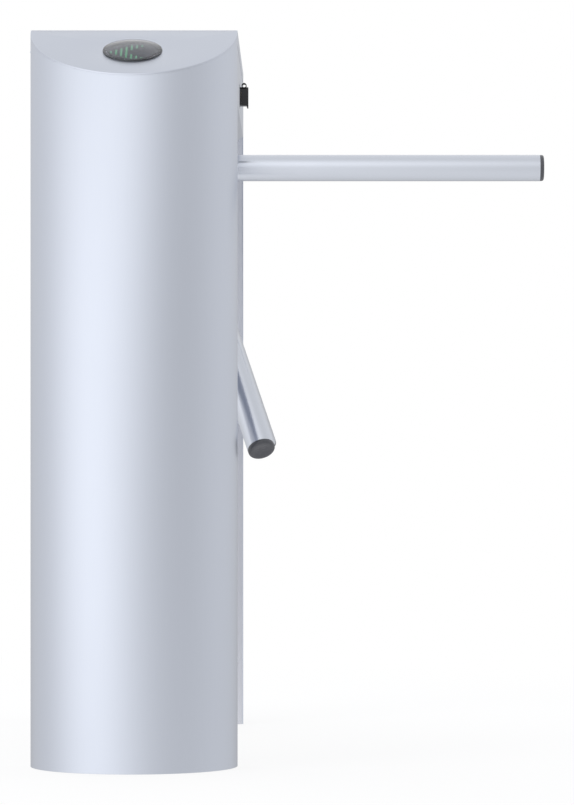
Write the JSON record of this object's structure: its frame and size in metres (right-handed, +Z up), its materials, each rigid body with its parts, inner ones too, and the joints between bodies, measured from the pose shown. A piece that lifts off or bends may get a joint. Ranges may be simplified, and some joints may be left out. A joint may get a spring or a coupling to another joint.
{
  "type": "tripod turnstile",
  "caption": "Bridge tripod turnstile: rounded columns joined by a lidded mechanism box, with a hub that turns slanted arms to let walkers through in turn.",
  "frame": {"origin": "on the floor, at the centre of the rectangle of anchor holes, below the hub", "axes": "+Z up, +Y along the turnstile from the column with the lock nearer to it, +X towards the passage"},
  "size_m": [0.7244, 1.068, 0.996],
  "materials": {
    "satin_steel": "satin stainless sheet",
    "arm_steel": "polished stainless tube",
    "cap_plastic": "dark moulded plastic",
    "lock_black": "black painted die-cast metal",
    "lock_brass": "turned brass",
    "bezel_dark": "dark glossy plastic",
    "lens_dark": "smoked acrylic",
    "led_green": "lit green diode",
    "board_green": "coated circuit board",
    "zinc_steel": "zinc plated steel",
    "bright_steel": "ground bearing steel",
    "cast_alloy": "satin die-cast alloy",
    "black_steel": "black oxide steel",
    "coil_tape": "taped coil in a steel frame",
    "rubber": "black rubber",
    "supply_case": "perforated alloy case"
  },
  "bodies": {
    "cabinet": {"front_column_shell": "satin_steel", "rear_column_shell": "satin_steel", "front_inner_panel": "satin_steel", "rear_inner_panel": "satin_steel", "front_top_plate": "satin_steel", "rear_top_plate": "satin_steel", "base_plates": "zinc_steel", "panel_screws": "zinc_steel", "indicator_bezels": "bezel_dark", "indicator_lenses": "lens_dark", "indicator_boards": "board_green", "indicator_leds": "led_green", "box_tray": "satin_steel", "box_bolts": "zinc_steel", "cable_grommets": "rubber", "lid_hinge_fixed_leaves": "satin_steel", "lid_hinge_pins": "zinc_steel", "lock_body": "lock_black", "lock_nut": "zinc_steel", "dust_cover_pin": "lock_black", "bearing_outer_rings": "bright_steel", "bearing_balls": "bright_steel", "bearing_housing": "cast_alloy", "mechanism_plate": "zinc_steel", "plate_standoffs": "zinc_steel", "mechanism_bolts": "black_steel", "position_sensor": "cap_plastic", "pawl_pivot_pins": "bright_steel", "solenoid_brackets": "zinc_steel", "solenoids": "coil_tape", "rotary_damper": "cast_alloy", "control_board": "board_green", "board_standoffs": "lock_brass", "power_supply": "supply_case"},
    "rotor": {"hub_head": "cast_alloy", "hub_cap": "cap_plastic", "hub_bolt": "zinc_steel", "arm_grub_screws": "black_steel", "drive_keys": "bright_steel", "main_shaft": "bright_steel", "arm_tube_side": "arm_steel", "arm_tube_rear": "arm_steel", "arm_tube_front": "arm_steel", "arm_end_caps": "cap_plastic", "bearing_inner_rings": "bright_steel", "lock_disc": "black_steel", "damper_gear": "black_steel", "sensor_disc": "zinc_steel", "shaft_nut": "zinc_steel"},
    "lid": {"box_lid": "satin_steel", "lid_catch": "zinc_steel", "lid_hinge_moving_leaves": "satin_steel"},
    "rear_pawl": {"rear_pawl": "black_steel"},
    "front_pawl": {"front_pawl": "black_steel"},
    "rear_plunger": {"rear_plunger": "bright_steel"},
    "front_plunger": {"front_plunger": "bright_steel"},
    "damper_pinion": {"damper_pinion": "black_steel"},
    "lock_plug": {"lock_plug": "lock_brass", "lock_cam": "zinc_steel"},
    "dust_cover": {"dust_cover": "lock_black"}
  },
  "joints": [
    {"name": "rotor_turn", "type": "hinge", "parent": "cabinet", "child": "rotor", "pos_m": [0.03806, 0, 0.83], "axis": [0.7071, 0, -0.7071], "continuous": true},
    {"name": "lid_hinge", "type": "hinge", "parent": "cabinet", "child": "lid", "pos_m": [-0.1438, 0, 0.975], "axis": [0, -1, 0], "range_deg": [0, 95]},
    {"name": "dust_cover_hinge", "type": "hinge", "parent": "cabinet", "child": "dust_cover", "pos_m": [0.146, -0.09, 0.9418], "axis": [0, -1, 0], "range_deg": [0, 120]},
    {"name": "lock_plug_turn", "type": "hinge", "parent": "cabinet", "child": "lock_plug", "pos_m": [0.14, -0.09, 0.927], "axis": [-1, 0, 0], "range_deg": [0, 90]},
    {"name": "rear_pawl_swing", "type": "hinge", "parent": "cabinet", "child": "rear_pawl", "pos_m": [-0.02558, 0.068, 0.82576], "axis": [0.7071, 0, -0.7071], "range_deg": [0, 9]},
    {"name": "front_pawl_swing", "type": "hinge", "parent": "cabinet", "child": "front_pawl", "pos_m": [-0.02558, -0.068, 0.82576], "axis": [-0.7071, 0, 0.7071], "range_deg": [0, 9]},
    {"name": "rear_plunger_slide", "type": "slide", "parent": "cabinet", "child": "rear_plunger", "axis": [0, -1, 0], "range_m": [0, 0.0095]},
    {"name": "front_plunger_slide", "type": "slide", "parent": "cabinet", "child": "front_plunger", "axis": [0, 1, 0], "range_m": [0, 0.0095]},
    {"name": "damper_pinion_turn", "type": "hinge", "parent": "cabinet", "child": "damper_pinion", "pos_m": [-0.04616, 0, 0.82356], "axis": [0.7071, 0, -0.7071], "continuous": true}
  ],
  "couplings": [
    {"joint": "rear_plunger_slide", "follows": "rear_pawl_swing", "m_per_rad": 0.060498},
    {"joint": "front_plunger_slide", "follows": "front_pawl_swing", "m_per_rad": 0.060498},
    {"joint": "damper_pinion_turn", "follows": "rotor_turn", "ratio": -3}
  ]
}
